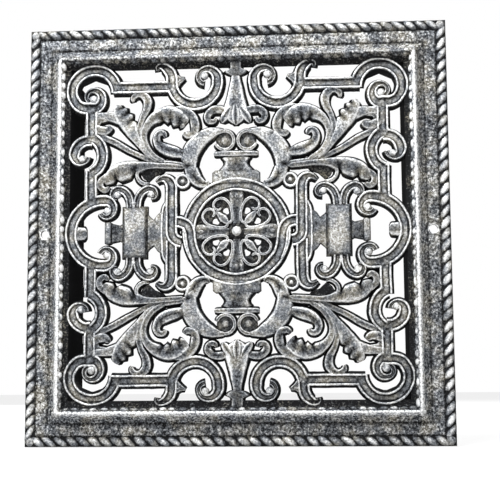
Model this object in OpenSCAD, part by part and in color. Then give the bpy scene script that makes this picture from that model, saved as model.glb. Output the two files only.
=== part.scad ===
// Cast iron wall grille: a moulded square frame around pierced scroll work, poured as one piece.
// It is drawn flat, with x across, y up the face and z out of the wall, and then stood upright,
// so the face looks along -Y, the wall is the plane Y = 0 and the cheeks reach into the duct.

/* [Face] */
// Side of the square face
face = 305; // [280:5:340]
// Depth of the cheeks behind the wall plane
cheek_depth = 44; // [12:1:60]
// Thickness of the cheeks
cheek_t = 4; // [3:0.5:5]
// Gap between each end of a cheek and the top or bottom of the opening
cheek_gap = 3; // [0:1:20]

/* [Frame section, from the outer edge inwards] */
// Width of the rope moulding
rope_w = 7; // [5:0.5:8]
// Height of the rope above its seat
rope_h = 3.4; // [2:0.2:5]
// Length of one strand of the rope
rope_pitch = 8; // [6:0.5:12]
// Height of the seat of the rope above the wall
seat_h = 2.6; // [2:0.2:3.2]
// Width of the flat band between the rope and the ridge
band_w = 9.5; // [8:0.5:12]
// Thickness of the band
band_t = 4; // [3.6:0.2:5]
// Width of the raised ridge
ridge_w = 8; // [7:0.5:10]
// Height of the ridge above the wall
ridge_h = 11; // [9:0.5:13]
// Width of the beaded slope inside the ridge
bead_w = 3.6; // [3:0.2:5]
// Length of one bead
bead_pitch = 7; // [5:0.5:10]
// Thickness of the casting over the hollow behind the ridge
skin = 3.6; // [3:0.2:4.2]
// Height of the ledge around the opening
ledge_h = 5; // [4.4:0.2:6]
// Width of the ledge at the sides of the opening
side_ledge = 2.9; // [2:0.1:6]
// Width of the ledge above and below the opening
top_ledge = 4.4; // [2:0.1:7]

/* [Screw holes] */
// Diameter of each hole
hole_d = 6; // [4:0.5:7]

/* [Scroll work] */
// Width of a strap
strap_w = 8.4; // [7:0.2:9.4]
// Width of the raised rim on each side of a strap
rim_w = 1.5; // [1.1:0.1:2]
// Height of the rims above the wall plane
rim_h = 5.8; // [5.2:0.2:7]
// Depth of the channel between the rims
channel = 1.7; // [1:0.1:2.2]
// Radius of the bosses in the eyes of the scrolls, at their foot
boss_r = 2.4; // [1.6:0.2:2.8]
// Height of the bosses above the rims
boss_rise = 0.4; // [0:0.2:1.6]
// Height of the side tablets above the wall plane
tablet_h = 7.6; // [6.8:0.2:9]
// Width of the bevel round the side tablets
tablet_bevel = 2.4; // [1:0.2:3.4]
// Width of the ring round the rosette
ring_w = 9.4; // [8:0.2:11]

/* [Hidden] */
// Greatest angle between the facets of an arc, and the sides of the eyes, the ring, holes and bosses
ARC_STEP = 30;
EYE_FN = 10;
RING_FN = 32;
HOLE_FN = 8;
BOSS_FN = 16;

half = face / 2;
band_in = rope_w + band_w;
ridge_in = band_in + ridge_w;
slope_in = ridge_in + bead_w;
open_x = half - slope_in - side_ledge;
open_y = half - slope_in - top_ledge;
hole_x = half - rope_w - band_w / 2 - 0.75;
ring_r = 34.4;
// The paths below are laid out for an opening that reaches 121.5 each way, and follow the true one
s = open_x / 121.5;

// Paths of the channelled straps of one quarter, through points and through arcs, each arc given as
// [centre, radius, from angle, to angle]
STRAPS = [
    // top strap
    [[46, 106], [89, 106]],
    // corner scroll
    [[[104, 102.6], 16.8, 180, 0], [[109.2, 102.6], 11.6, -30, -90], [[109.2, 98.6], 7.6, -120, -180]],
    // hook above the top strap, running down into the scroll beside the urn
    [[[53, 116], 6.2, 70, 180], [[30, 109.4], 16.8, 0, -180], [[22.6, 109.4], 9.4, 150, 90]],
    // outer upright, in two lengths, and its loop
    [[105.7, 93], [105.7, 69]],
    [[[111.7, 57.2], 14.3, 116, 244]],
    [[106, 66], [[109.4, 56], 9.6, 70, 0], [[114, 56], 5, -30, -100]],
    [[105.7, 46], [105.7, 23]],
    // side scroll
    [[[96.6, 0], 23.8, -30, 90], [[96.6, 16.4], 7.4, 120, 190]],
    // inner upright with its hook
    [[46.9, -1], [46.9, 30], [[53.5, 34], 6.6, 180, 56]]
];

// The two short straps on each side that tie the ring to the inner upright, one below, one above
TIES = [[[46.9, 6], [[39.4, -1], 7.5, 0, -90]], [[33.9, -6], [[41.4, 0.8], 7.5, 180, 90]]];

// Eyes of the scrolls in one quarter: [centre, radius]
EYES = [
    [[104.6, 97.6], 8], [[23.1, 114.4], 7.4], [[113.4, 51], 5], [[92.3, 15.8], 6.6],
    [[39, 37], 5.4], [[8.6, 66.4], 7.4]
];

// The lyre above the side tablet, in one quarter: its two stems, as [x, y, half width]
LYRE = [
    [[74.4, 16, 2], [77.2, 27, 1.8], [81, 32.4, 2], [86.4, 32, 2], [88.6, 28, 1.8], [85.4, 26, 1.8]],
    [[74.4, 16, 2], [71.4, 27, 1.8], [67.2, 32.6, 2], [61.4, 32.2, 2], [59.6, 28, 1.8], [63.4, 26, 1.8]]
];

// Leaves of one quarter: points of the middle line as [x, y, half width]
LEAVES = [
    // long stem to the outer loop
    [[44, 49.5, 2.4], [58, 50.5, 2], [74, 58, 2.2], [88, 66, 2.6], [99, 71, 2.2]],
    // broad leaf with its lobes
    [[56, 51, 1.8], [67, 60, 2.5], [75, 71, 3.4], [79, 81, 5], [82.5, 89, 4.8], [84.5, 95, 2]],
    [[76, 78, 2.6], [84, 85, 3.2], [93, 87, 2.9], [103, 87.5, 2.4]],
    [[104, 82, 1.6], [98.5, 78.3, 2.5], [92.5, 76, 2.4], [89.4, 76.4, 1.1]],
    // slender leaf with a hooked tip
    [[58, 51, 1.4], [68.5, 63, 2.2], [71.4, 74, 2.5], [69.3, 83.5, 2.2], [65, 90.5, 2.7],
        [64.2, 96.5, 3], [68.5, 100.3, 2.4], [73.6, 98.8, 2.2], [75.2, 95.8, 1.2]],
    // curled leaf round the upper opening, and its turned tip
    [[50, 50.5, 1.8], [63, 60, 2.2], [67.2, 70.5, 2.3], [65.5, 78.6, 3], [59.6, 84, 4],
        [52, 85.5, 5.4], [44.5, 83.5, 6], [37, 79, 4]],
    [[43, 86.5, 2.4], [35.4, 83.6, 3.4], [31, 77.5, 3.5], [32.4, 71.8, 3.1], [37.5, 70.4, 2.1]],
    // small leaf inside that opening
    [[33, 56, 3.4], [43, 57, 3.7], [50.6, 59.6, 3.4], [55.6, 63.6, 2.8], [58.2, 67.4, 1.1]],
    // lower broad leaf
    [[48, 48.4, 1.8], [63, 47.6, 2.4], [73.5, 46.8, 4.4], [82, 45.4, 6], [89, 42.8, 5.4],
        [94, 38.4, 4.2], [97.5, 32, 2.6], [103, 30, 2]],
    // small curled stem beside it
    [[54, 47, 1.3], [63.5, 46, 1.5], [69.6, 43, 1.6], [70, 38.8, 1.6], [66.4, 35.5, 1.7], [63, 35.6, 1.3]],
    // heavy scroll that springs from the ring
    [[28.5, 31.5, 5.4], [30, 42, 4.6], [31.2, 51, 5.6], [30.4, 60, 6.6], [25.4, 66.8, 6.4],
        [18, 70.6, 5], [10.5, 71.6, 3.6], [2, 70.2, 2.2]],
    // turned leaf at the foot of the urn
    [[0, 84, 4], [8, 86.4, 4.4], [15, 87, 3.6], [20.5, 84, 3], [18, 80, 2.4]]
];

// Half outline of the urn between the top scrolls, and of the cap over the ring, as [half width, y]
URN = [[12, 76], [13, 88], [9, 90], [6, 97], [3, 109], [3, 113], [8, 114], [8, 117], [5, 119], [5, 127]];
CAP = [[17, 38], [17, 45], [8, 48], [8, 54], [16.5, 54.5], [16.5, 58.5], [10, 62]];

// Half size of the tablet between the side scrolls, and half outline of the baluster beside it
TABLET = [7.2, 17.6];
tablet_x = 74;
BALUSTER = [[4, -9], [2, 0], [4, 9]];
baluster_x = 86.5;

// Low webs of one quarter, where the photo shows dark metal behind the scrolls
WEBS = [
    [[85, 106], [88, 126], [126, 126], [126, 88], [108, 91], [116, 100], [112, 112], [100, 116]],
    [[36, 44], [52, 40.5], [66, 36], [70, 42], [62, 46], [48, 49]],
    [[56, 0], [56, 18], [60, 9.6], [68, 17], [68, 0]]
];

// Rosette of one quarter: the rim of the scroll on one side of its diagonal, half an arm and the lobe
// on the diagonal as [x, y, half width], and a hole through its floor as [centre, half width]
HEART = [
    [8, 11.6], [7, 7.6], [5, 6.6], [3.3, 8.5], [3.2, 13.5], [4.8, 19.5], [7.5, 23], [10.5, 24.4],
    [14.2, 23.5], [16.4, 20.4], [16.2, 17.4], [14, 15.8], [11.4, 17]
];
heart_w = 1.5;
ARM = [[0, 0, 2.4], [0, 12, 2.4], [0, 20, 4], [0, 25, 4.8], [0, 31.5, 3.4]];
LOBE = [[5, 5, 1.4], [9.4, 9.4, 2.3], [12.6, 12.6, 0.9]];
ROSE_HOLE = [[6.4, 15.4], 2.9];
rose_boss_r = 4;

function flat(p) = [p[0], p[1]];
function unit(v) = v / norm(v);
function across(v) = [-v[1], v[0]];
// Points of an arc, no further apart than the facet angle
function arc_points(c, r, from, to) = let (n = ceil(abs(to - from) / ARC_STEP)) [
    for (i = [0:n]) let (a = from + (to - from) * i / n) c + r * [cos(a), sin(a)]
];
function path_points(path) = [
    for (e = path) each len(e) == 2 ? [e] : arc_points(e[0], e[1], e[2], e[3])
];
// Direction square to a path at point i, longer where the path turns so that its width holds
function side_at(pts, i) = let (
        last = len(pts) - 1,
        before = unit(pts[max(i, 1)] - pts[max(i, 1) - 1]),
        after = unit(pts[min(i + 1, last)] - pts[min(i, last - 1)]),
        mean = unit(before + after)
    ) across(mean) / max(mean * after, 0.7);

// A closed solid through rings of points, all of the same count
module loft(rings) {
    n = len(rings[0]);
    m = len(rings);
    polyhedron(
        points = [for (r = rings, p = r) p],
        faces = concat(
            [for (k = [1:n - 2]) [0, k, k + 1]],
            [for (i = [0:m - 2], k = [0:n - 1]) let (b = i * n, j = (k + 1) % n) [b + k, b + n + k, b + n + j]],
            [for (i = [0:m - 2], k = [0:n - 1]) let (b = i * n, j = (k + 1) % n) [b + k, b + n + j, b + j]],
            [for (k = [1:n - 2]) [(m - 1) * n, (m - 1) * n + k + 1, (m - 1) * n + k]]
        )
    );
}

// The band w wide along a path, flat
module band(pts, w) {
    polygon(concat(
        [for (i = [0:len(pts) - 1]) pts[i] + side_at(pts, i) * w / 2],
        [for (i = [len(pts) - 1:-1:0]) pts[i] - side_at(pts, i) * w / 2]
    ));
}

// A leaf or stem, flat, from a list of [x, y, half width]
module leaf(list) {
    pts = [for (p = list) flat(p)];
    polygon(concat(
        [for (i = [0:len(pts) - 1]) pts[i] + side_at(pts, i) * list[i][2]],
        [for (i = [len(pts) - 1:-1:0]) pts[i] - side_at(pts, i) * list[i][2]]
    ));
}

// A symmetric outline from its right half, given as [half width, y]
module turned(outline) {
    polygon(concat(outline, [for (i = [len(outline) - 1:-1:0]) [-outline[i][0], outline[i][1]]]));
}

module quarters() {
    for (mx = [0, 1], my = [0, 1]) mirror([mx, 0, 0]) mirror([0, my, 0]) children();
}

module diagonals() {
    for (d = [0, 1]) mirror([d, -d, 0]) children();
}

module halves() {
    for (mx = [0, 1]) mirror([mx, 0, 0]) children();
}

// Outline of the channelled straps, the eyes of the scrolls and the ring
module strap_outline() {
    quarters() {
        for (p = STRAPS) band(s * path_points(p), strap_w);
        for (e = EYES) translate(s * e[0]) circle(s * e[1], $fn = EYE_FN);
    }
    halves() for (p = TIES) band(s * path_points(p), strap_w);
    difference() {
        circle(s * ring_r + ring_w / 2, $fn = RING_FN);
        circle(s * ring_r - ring_w / 2, $fn = RING_FN);
    }
}

// Outline of the leaves, the urns, the tablets and the rosette
module leaf_outline() {
    quarters() scale(s) {
        for (l = concat(LEAVES, LYRE)) leaf(l);
        turned(URN);
        turned(CAP);
        translate([tablet_x, 0]) square(2 * TABLET, center = true);
        rotate(-90) translate([0, baluster_x]) turned(BALUSTER);
    }
}

// Outline of the raised parts of the rosette, and of its floor
module rosette_outline() {
    quarters() scale(s) {
        diagonals() {
            band(HEART, heart_w);
            leaf(ARM);
        }
        leaf(LOBE);
    }
}
module rosette_floor() {
    difference() {
        circle(s * ring_r, $fn = RING_FN);
        quarters() scale(s) diagonals() translate(ROSE_HOLE[0]) circle(ROSE_HOLE[1], $fn = HOLE_FN);
    }
}

// The scroll work: low webs, straps sunk between their rims, bosses, and leaves with raised middles
module clip() {
    offset(delta = 0.01) intersection() {
        square(2 * [open_x + side_ledge, open_y + top_ledge], center = true);
        union() children();
    }
}
module scroll_work() {
    linear_extrude(rim_h - channel) offset(delta = 0.3) clip() {
        strap_outline();
        leaf_outline();
        rosette_floor();
        quarters() scale(s) for (w = WEBS) polygon(w);
    }
    translate([0, 0, rim_h - channel - 0.4]) linear_extrude(channel + 0.4) clip() {
        difference() {
            strap_outline();
            offset(delta = -rim_w) strap_outline();
        }
        offset(delta = -0.5) leaf_outline();
        rosette_outline();
    }
}

// Bosses in the eyes of the scrolls and in the middle of the rosette
module boss(r, rise) {
    translate([0, 0, rim_h - channel - 0.3]) cylinder(r1 = r, r2 = r * 0.55, h = channel + 0.3 + rise, $fn = BOSS_FN);
}
module bosses() {
    quarters() for (e = EYES) translate(s * e[0]) boss(boss_r, boss_rise);
    boss(s * rose_boss_r, boss_rise + 1.2);
}

// Raised bevelled tops of the side tablets
function tablet_ring(inset, z) = [
    for (c = [[-1, -1], [1, -1], [1, 1], [-1, 1]])
        [s * tablet_x + c[0] * (s * TABLET[0] - inset), c[1] * (s * TABLET[1] - inset), z]
];
module tablets() {
    halves() loft([tablet_ring(0.7, rim_h - 0.6), tablet_ring(0.7 + tablet_bevel, tablet_h)]);
}

// Section of the frame as [distance in from the edge, height]
cove_r = ridge_h - band_t - 1;
SECTION = concat(
    [[0, 0], [0, seat_h], [rope_w, seat_h], [rope_w + 0.8, band_t - 0.6], [rope_w + 1.6, band_t]],
    [[band_in - 1, band_t], [band_in - 0.5, band_t - 1], [band_in, band_t]],
    [for (a = [30:30:90]) [band_in + (ridge_w - 2) * sin(a), band_t + cove_r * (1 - cos(a))]],
    [[ridge_in - 1.3, ridge_h], [ridge_in, ridge_h - 0.6], [slope_in, ledge_h], [slope_in, 0]],
    [[slope_in - skin, 0], [ridge_in - 0.5, ridge_h - skin - 2], [ridge_in - 3, ridge_h - skin - 1.4]],
    [[band_in + 2.5, 0]]
);

module bar() {
    intersection() {
        rotate([90, 0, 0]) translate([0, 0, -half]) linear_extrude(face) translate([-half, 0])
            polygon(SECTION);
        translate([0, 0, -1]) linear_extrude(ridge_h + 2) polygon([[-half - 1, -half - 1], [0, 0], [-half - 1, half + 1]]);
    }
}

module frame() {
    for (a = [0:90:270]) rotate(a) bar();
    linear_extrude(ledge_h) difference() {
        square(2 * (half - slope_in + 1), center = true);
        square([2 * open_x, 2 * open_y], center = true);
    }
}

module cheeks() {
    halves() translate([open_x, -open_y + cheek_gap, -cheek_depth])
        cube([cheek_t, 2 * (open_y - cheek_gap), cheek_depth + ledge_h - 1]);
}

// The rope along one edge: each strand crowns between two valleys, and all lean the same way
rope_len = face - 2 * rope_w;
strands = round(rope_len / rope_pitch);
function rope_ring(k) = let (
        y = -rope_len / 2 + rope_len * k / (2 * strands),
        r = (k % 2 == 0 ? 0.74 : 1) * (rope_w - 0.6) / 2,
        lean = rope_pitch * 0.45,
        h = 2 * rope_h / rope_w
    ) [
        for (a = [0:60:180]) [-half + rope_w / 2 - r * cos(a), y - lean * cos(a), seat_h - 0.5 + h * r * sin(a)]
    ];

module rope() {
    for (a = [0:90:270]) rotate(a) {
        loft([for (k = [0:2 * strands]) rope_ring(k)]);
        translate([-half + rope_w / 2 + 0.6, -half + rope_w / 2 + 0.6, seat_h - 0.4]) sphere(rope_w * 0.62, $fn = 8);
    }
}

// The beads along one inner slope
bead_len = 2 * (half - slope_in) + 2;
beads = round(bead_len / bead_pitch);
function bead_ring(k) = let (
        y = -bead_len / 2 + bead_len * k / (2 * beads),
        out = k % 2 == 0 ? 0.15 : 1.5
    ) [
        [-half + ridge_in - 0.2, y, ridge_h - 1.4],
        [-half + (ridge_in + slope_in) / 2 + out, y, (ridge_h + ledge_h) / 2 + out * 0.8],
        [-half + slope_in - 0.1, y, ledge_h - 0.6]
    ];

module bead_rows() {
    for (a = [0:90:270]) rotate(a) loft([for (k = [0:2 * beads]) bead_ring(k)]);
}

// The casting as poured
module casting() {
    union() {
        frame();
        cheeks();
        rope();
        bead_rows();
        scroll_work();
        bosses();
        tablets();
    }
}

module grille() {
    color("dimgray") rotate([90, 0, 0]) difference() {
        casting();
        halves() translate([hole_x, 0, -1]) cylinder(d = hole_d, h = ridge_h, $fn = 48);
    }
}

grille();
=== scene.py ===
"""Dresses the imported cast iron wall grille: every surface of the casting is modelled and given its finish.

The casting is worked out flat, in millimetres: x across the face, y up it and z out of the wall. Each
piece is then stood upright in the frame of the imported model, where the face looks along -Y.
"""

import math
import random

import bmesh
import bpy
from bpy.props import FloatProperty, FloatVectorProperty, PointerProperty
from mathutils import Matrix, Quaternion, Vector
from mathutils.noise import noise_vector


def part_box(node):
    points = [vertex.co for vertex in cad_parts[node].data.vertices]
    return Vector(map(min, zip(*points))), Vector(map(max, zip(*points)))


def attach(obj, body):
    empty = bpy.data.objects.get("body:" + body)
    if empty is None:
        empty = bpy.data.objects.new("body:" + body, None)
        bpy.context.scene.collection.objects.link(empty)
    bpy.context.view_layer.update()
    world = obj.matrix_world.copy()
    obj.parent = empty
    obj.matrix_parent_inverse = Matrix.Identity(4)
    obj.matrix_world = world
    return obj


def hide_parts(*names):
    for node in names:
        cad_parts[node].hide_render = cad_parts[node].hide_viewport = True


bl_info = {
    "name": "Cast iron wall grille",
    "version": (1, 0, 0),
    "blender": (4, 5, 0),
    "location": "View3D > Sidebar > Grille",
    "description": "Models a cast iron wall grille with scroll work, and its studio stage",
    "category": "Add Mesh",
}

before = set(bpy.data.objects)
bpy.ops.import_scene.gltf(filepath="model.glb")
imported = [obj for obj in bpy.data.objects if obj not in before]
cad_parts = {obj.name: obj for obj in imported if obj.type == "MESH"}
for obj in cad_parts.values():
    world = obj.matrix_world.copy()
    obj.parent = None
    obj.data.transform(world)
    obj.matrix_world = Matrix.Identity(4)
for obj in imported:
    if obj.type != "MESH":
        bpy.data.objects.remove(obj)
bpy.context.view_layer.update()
LOW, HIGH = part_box("grille")
SIDE = (HIGH.x - LOW.x) * 1000
HALF = SIDE / 2
CHEEK_BACK = HIGH.y * 1000
# Flat face millimetres to the upright model in metres
STAND = Matrix(((0.001, 0, 0, 0), (0, 0, -0.001, 0), (0, 0.001, 0, 0), (0, 0, 0, 1)))


class GrilleSizes(bpy.types.PropertyGroup):
    """Sizes of the casting, in metres"""

    rope_width: FloatProperty(
        name="Rope width", description="Width of the rope round the edge",
        default=0.0074, unit="LENGTH",
    )
    rope_pitch: FloatProperty(
        name="Rope pitch", description="Distance between strands along the edge",
        default=0.0082, unit="LENGTH",
    )
    bead_pitch: FloatProperty(
        name="Bead pitch", description="Distance between beads on the inner slope",
        default=0.007, unit="LENGTH",
    )
    rim_width: FloatProperty(
        name="Rim width", description="Width of the rim on each side of a strap",
        default=0.0016, unit="LENGTH",
    )
    rim_height: FloatProperty(
        name="Rim height", description="Height of the rims above the wall plane",
        default=0.0058, unit="LENGTH",
    )
    floor_height: FloatProperty(
        name="Channel floor", description="Height of the channel floor above the wall plane",
        default=0.0039, unit="LENGTH",
    )
    draft: FloatProperty(
        name="Draft", description="How far the sides spread towards the back",
        default=0.0016, unit="LENGTH",
    )
    screw_spacing: FloatProperty(
        name="Screw spacing", description="Distance between the two screw holes",
        default=0.280, unit="LENGTH",
    )
    screw_hole: FloatProperty(
        name="Screw hole", description="Diameter of each screw hole",
        default=0.006, unit="LENGTH",
    )


class GrilleFinish(bpy.types.PropertyGroup):
    """Colours of the casting's finish"""

    hollow: FloatVectorProperty(
        name="Hollows", description="Iron in the hollows and on the steep sides", subtype="COLOR",
        default=(0.012, 0.012, 0.0125), min=0, max=1,
    )
    back: FloatVectorProperty(
        name="Back", description="Iron as cast, on what faces the wall", subtype="COLOR",
        default=(0.2, 0.195, 0.185), min=0, max=1,
    )
    skin: FloatVectorProperty(
        name="Skin", description="Sandy skin of the flat surfaces", subtype="COLOR",
        default=(0.15, 0.158, 0.17), min=0, max=1,
    )
    warm: FloatVectorProperty(
        name="Warm skin", description="Skin where old blacking has turned brown", subtype="COLOR",
        default=(0.19, 0.172, 0.135), min=0, max=1,
    )
    worn: FloatVectorProperty(
        name="Worn edges", description="Metal where edges and crowns are rubbed bright", subtype="COLOR",
        default=(0.82, 0.815, 0.805), min=0, max=1,
    )


def sizes():
    return bpy.context.scene.grille_sizes


def mm(name):
    return getattr(sizes(), name) * 1000


# Shared shader effects

# Grain of sand cast iron: cells to a metre, and how much each noise counts in the speckle and the height
COARSE_GRAIN, FINE_GRAIN, BLOTCHES = 640, 1700, 90
COARSE_SHARE, FINE_SHARE, FINE_HEIGHT = 0.62, 0.38, 0.4
GRAIN_ROUGHNESS = 0.6
GRAIN_DEPTH = 0.0004
# Levels between which one finish gives way to the next: warm skin, skin, worn metal, what faces the wall
WARM_SKIN = (0.36, 0.72)
BARE_SKIN = (0.06, 0.52)
WORN_METAL = (0.4, 0.95)
WALL_SIDE = (0.5, 0.9)
# How far blotches shift the wear, the roughness of the skin, and how much of it rubbing takes away
BLOTCHING = 0.6
ROUGHNESS, SMOOTHED = 0.72, 0.3
# How metallic and how shiny fully worn metal is
WORN_METALLIC, WORN_SHINE = 0.3, 0.45
# How far the grain breaks up the wear, and how strong it is, on each kind of surface
SURFACES = {"relief": (1.5, 0.8), "band": (2.6, 1.0)}


def new_group(name, inputs, outputs):
    group = bpy.data.node_groups.new(name, "ShaderNodeTree")
    for label, kind, value in inputs:
        socket = group.interface.new_socket(label, in_out="INPUT", socket_type=kind)
        socket.default_value = value
    for label, kind in outputs:
        group.interface.new_socket(label, in_out="OUTPUT", socket_type=kind)
    return group, group.nodes.new("NodeGroupInput"), group.nodes.new("NodeGroupOutput")


def math_node(tree, operation, a, b):
    node = tree.nodes.new("ShaderNodeMath")
    node.operation = operation
    for socket, value in zip(node.inputs, (a, b)):
        if isinstance(value, (int, float)):
            socket.default_value = value
        else:
            tree.links.new(value, socket)
    return node.outputs[0]


def noise(tree, place, scale, detail):
    node = tree.nodes.new("ShaderNodeTexNoise")
    tree.links.new(place, node.inputs["Vector"])
    node.inputs["Scale"].default_value = scale
    node.inputs["Detail"].default_value = detail
    node.inputs["Roughness"].default_value = GRAIN_ROUGHNESS
    return node.outputs["Fac"]


def ramp(tree, value, low, high):
    node = tree.nodes.new("ShaderNodeMapRange")
    node.interpolation_type = "SMOOTHSTEP"
    tree.links.new(value, node.inputs["Value"])
    node.inputs["From Min"].default_value = low
    node.inputs["From Max"].default_value = high
    return node.outputs["Result"]


def mix_colour(tree, factor, a, b):
    node = tree.nodes.new("ShaderNodeMix")
    node.data_type = "RGBA"
    tree.links.new(factor, node.inputs[0])
    for socket, value in ((node.inputs[6], a), (node.inputs[7], b)):
        if isinstance(value, tuple):
            socket.default_value = value
        else:
            tree.links.new(value, socket)
    return node.outputs[2]


def sand_group():
    """Sand cast grain: a coarse and a fine noise, given as a speckle and as a height, and wider blotches"""
    labels = ("Speckle", "Blotch", "Height")
    group, _, out = new_group("sand cast grain", [], [(label, "NodeSocketFloat") for label in labels])
    place = group.nodes.new("ShaderNodeTexCoord").outputs["Object"]
    coarse = noise(group, place, COARSE_GRAIN, 2)
    fine = noise(group, place, FINE_GRAIN, 2)
    blotch = noise(group, place, BLOTCHES, 3)
    coarse_part = math_node(group, "MULTIPLY", coarse, COARSE_SHARE)
    fine_part = math_node(group, "MULTIPLY", fine, FINE_SHARE)
    speckle = math_node(group, "ADD", coarse_part, fine_part)
    height = math_node(group, "ADD", coarse, math_node(group, "MULTIPLY", fine, FINE_HEIGHT))
    for label, value in zip(labels, (speckle, blotch, height)):
        group.links.new(value, out.inputs[label])
    return group


def wear_group(grain):
    """Mixes hollow, skin and worn metal by the piece's own attribute of wear, which in places also holds
    painted light and shade, broken up by the grain
    """
    group, given, out = new_group(
        "rubbed cast iron",
        [
            ("Hollow", "NodeSocketColor", (0, 0, 0, 1)),
            ("Back", "NodeSocketColor", (0.05, 0.05, 0.05, 1)),
            ("Skin", "NodeSocketColor", (0.2, 0.2, 0.2, 1)),
            ("Warm", "NodeSocketColor", (0.2, 0.18, 0.15, 1)),
            ("Worn", "NodeSocketColor", (0.8, 0.8, 0.8, 1)),
            ("Breakup", "NodeSocketFloat", 0.9),
        ],
        [
            ("Colour", "NodeSocketColor"), ("Rub", "NodeSocketFloat"), ("Roughness", "NodeSocketFloat"),
            ("Height", "NodeSocketFloat"),
        ],
    )
    wear_and_shade = group.nodes.new("ShaderNodeAttribute")
    wear_and_shade.attribute_name = "wear_and_shade"
    sand = group.nodes.new("ShaderNodeGroup")
    sand.node_tree = grain
    speckle, blotch = sand.outputs["Speckle"], sand.outputs["Blotch"]
    centred = math_node(group, "SUBTRACT", speckle, 0.5)
    blotchy = math_node(group, "MULTIPLY", math_node(group, "SUBTRACT", blotch, 0.5), BLOTCHING)
    broken = math_node(group, "ADD", math_node(group, "MULTIPLY", centred, given.outputs["Breakup"]), blotchy)
    level = math_node(group, "ADD", wear_and_shade.outputs["Fac"], broken)
    skin = mix_colour(group, ramp(group, blotch, *WARM_SKIN), given.outputs["Skin"], given.outputs["Warm"])
    base = mix_colour(group, ramp(group, level, *BARE_SKIN), given.outputs["Hollow"], skin)
    # what faces the wall is never rubbed, and shows the grain of the plain casting
    facing = group.nodes.new("ShaderNodeSeparateXYZ")
    group.links.new(group.nodes.new("ShaderNodeTexCoord").outputs["Normal"], facing.inputs[0])
    behind = ramp(group, facing.outputs["Y"], *WALL_SIDE)
    plain = mix_colour(group, speckle, given.outputs["Hollow"], given.outputs["Back"])
    base = mix_colour(group, behind, base, plain)
    front = math_node(group, "SUBTRACT", 1.0, behind)
    rub = math_node(group, "MULTIPLY", ramp(group, level, *WORN_METAL), front)
    colour = mix_colour(group, rub, base, given.outputs["Worn"])
    roughness = math_node(group, "SUBTRACT", ROUGHNESS, math_node(group, "MULTIPLY", rub, SMOOTHED))
    made = {"Colour": colour, "Rub": rub, "Roughness": roughness, "Height": sand.outputs["Height"]}
    for label, value in made.items():
        group.links.new(value, out.inputs[label])
    return group


def iron_material(name, group, breakup, bump):
    """Cast iron, blackened in the hollows and rubbed to bright metal on what stands proud"""
    finish = bpy.context.scene.grille_finish
    material = bpy.data.materials.new(name)
    material.use_nodes = True
    tree = material.node_tree
    shader = tree.nodes["Principled BSDF"]
    look = tree.nodes.new("ShaderNodeGroup")
    look.node_tree = group
    for label in ("Hollow", "Back", "Skin", "Warm", "Worn"):
        look.inputs[label].default_value = (*getattr(finish, label.lower()), 1)
    look.inputs["Breakup"].default_value = breakup
    lift = tree.nodes.new("ShaderNodeBump")
    lift.inputs["Strength"].default_value = bump
    lift.inputs["Distance"].default_value = GRAIN_DEPTH
    tree.links.new(look.outputs["Height"], lift.inputs["Height"])
    tree.links.new(look.outputs["Colour"], shader.inputs["Base Color"])
    tree.links.new(look.outputs["Roughness"], shader.inputs["Roughness"])
    for label, share in (("Metallic", WORN_METALLIC), ("Specular IOR Level", WORN_SHINE)):
        tree.links.new(math_node(tree, "MULTIPLY", look.outputs["Rub"], share), shader.inputs[label])
    tree.links.new(lift.outputs["Normal"], shader.inputs["Normal"])
    return material


def iron(kind):
    """The finish of a kind of surface, made once"""
    name = "iron " + kind
    if name in bpy.data.materials:
        return bpy.data.materials[name]
    group = bpy.data.node_groups.get("rubbed cast iron") or wear_group(sand_group())
    return iron_material(name, group, *SURFACES[kind])


# Mesh building

# Height up to which a section stands on the wall plane, and isn't lifted or moved outwards
FOOT = 1.5
# How far the upper end of the scroll work is drawn up, from which height on and over which stretch
RAISED_BY, RAISED_FROM, RAISED_OVER = 1.4, 55, 60
# Scale and reach of a slow and of a quick drift of the carved lines, the share of it that goes outwards,
# and the edge strip that stays in place, with the width over which the drift sets in
SLOW_DRIFT, SLOW_REACH = 0.09, 0.35
QUICK_DRIFT, QUICK_REACH = 0.45, 0.12
OUTWARDS = 0.6
EDGE_KEPT, EDGE_FADE = 0.6, 3
# How much darker the foot of the grille is painted than its middle, a painted shade for the light that falls
# off towards the bottom
FOOT_PAINTED_SHADE = 0.07
# Edges sharper than this many degrees show as creases
SHARP_ANGLE = 58


def new_work():
    bm = bmesh.new()
    bm.verts.layers.float.new("wear_and_shade")
    bm.verts.layers.int.new("station")
    return bm


def add(bm, part):
    """Adds the geometry of a part to the work, and frees the part"""
    mesh = bpy.data.meshes.new("part")
    part.to_mesh(mesh)
    part.free()
    bm.from_mesh(mesh)
    bpy.data.meshes.remove(mesh)


def sweep(bm, rings, closed_path=False):
    """Runs a closed section through rings of (place, wear) by extruding it from each ring to the next"""
    part = new_work()
    wear_and_shade = part.verts.layers.float["wear_and_shade"]
    station = part.verts.layers.int["station"]
    first = []
    for k, (place, rub) in enumerate(rings[0]):
        vert = part.verts.new(place)
        vert[wear_and_shade] = rub
        vert[station] = k
        first.append(vert)
    start = [part.edges.new((first[k - 1], first[k])) for k in range(len(first))]
    edges = list(start)
    for ring in rings[1:]:
        made = bmesh.ops.extrude_edge_only(part, edges=edges)["geom"]
        edges = [e for e in made if isinstance(e, bmesh.types.BMEdge)]
        for vert in (v for v in made if isinstance(v, bmesh.types.BMVert)):
            place, rub = ring[vert[station]]
            vert.co = place
            vert[wear_and_shade] = rub
    if closed_path:
        bmesh.ops.bridge_loops(part, edges=start + edges)
    else:
        bmesh.ops.contextual_create(part, geom=start)
        bmesh.ops.contextual_create(part, geom=edges)
    add(bm, part)


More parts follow.
